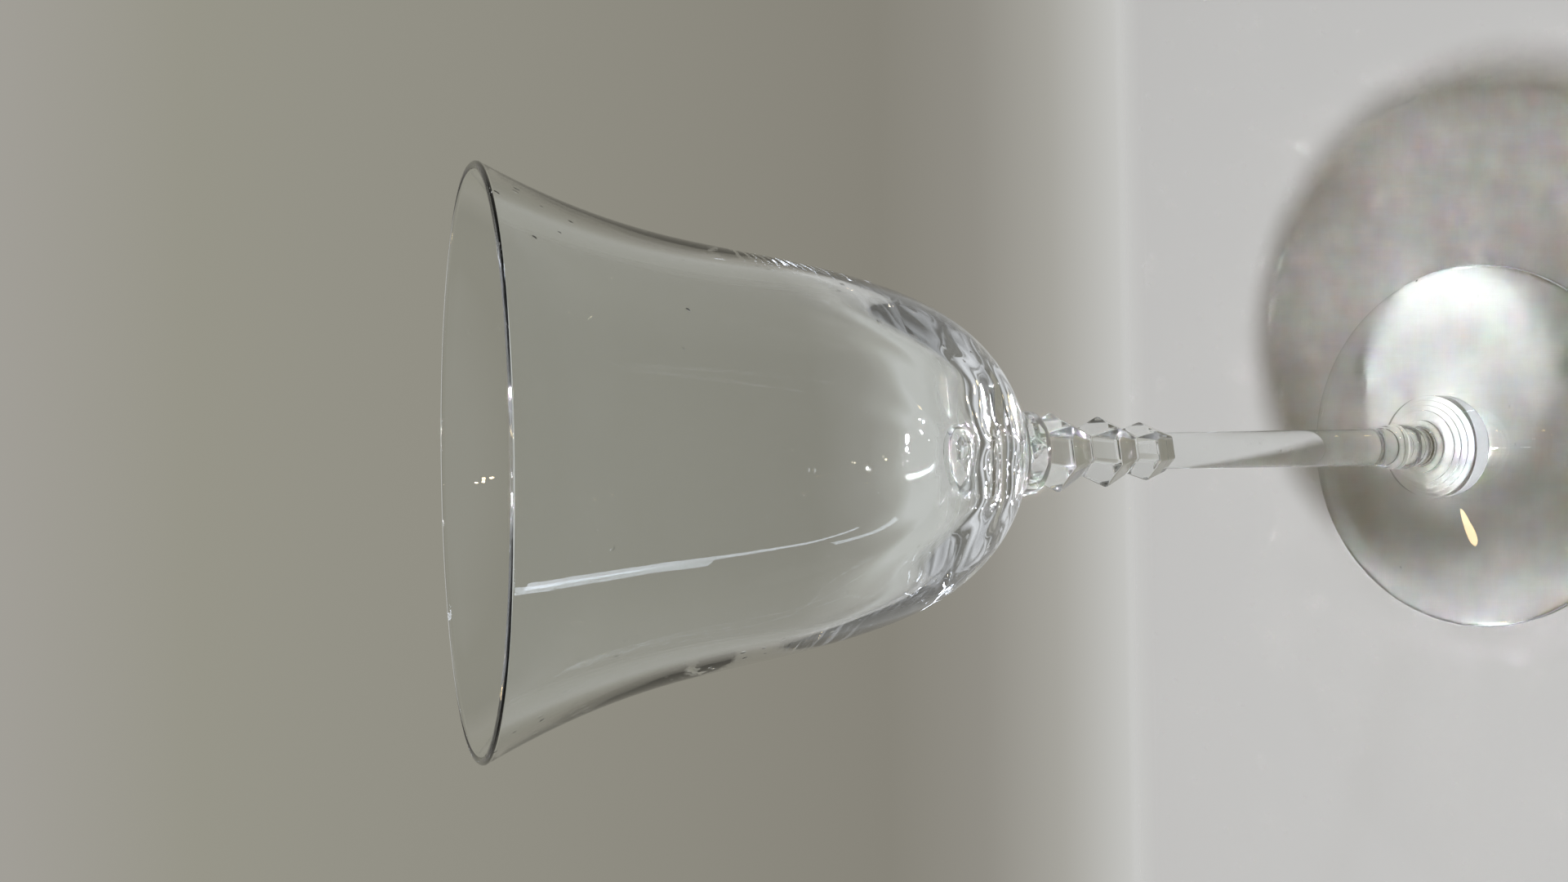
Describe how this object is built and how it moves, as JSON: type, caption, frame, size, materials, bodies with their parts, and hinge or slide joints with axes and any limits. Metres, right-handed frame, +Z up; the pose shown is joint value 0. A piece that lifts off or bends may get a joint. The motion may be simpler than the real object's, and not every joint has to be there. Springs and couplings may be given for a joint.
{
  "type": "stemmed drinking glass",
  "caption": "Clear stemmed drinking glass: a flared tulip bowl on a collar, a column of faceted beads, a plain round stem and a stepped round foot.",
  "frame": {"origin": "centre of the foot, on the plane that the glass stands on", "axes": "+Z up along the axis of the glass, from the foot to the rim; +X through a corner of the faceted beads"},
  "size_m": [0.084, 0.084, 0.2],
  "materials": {
    "clear_glass": "fire-polished clear glass"
  },
  "bodies": {
    "root": {"stemmed_glass": "clear_glass"}
  },
  "joints": []
}
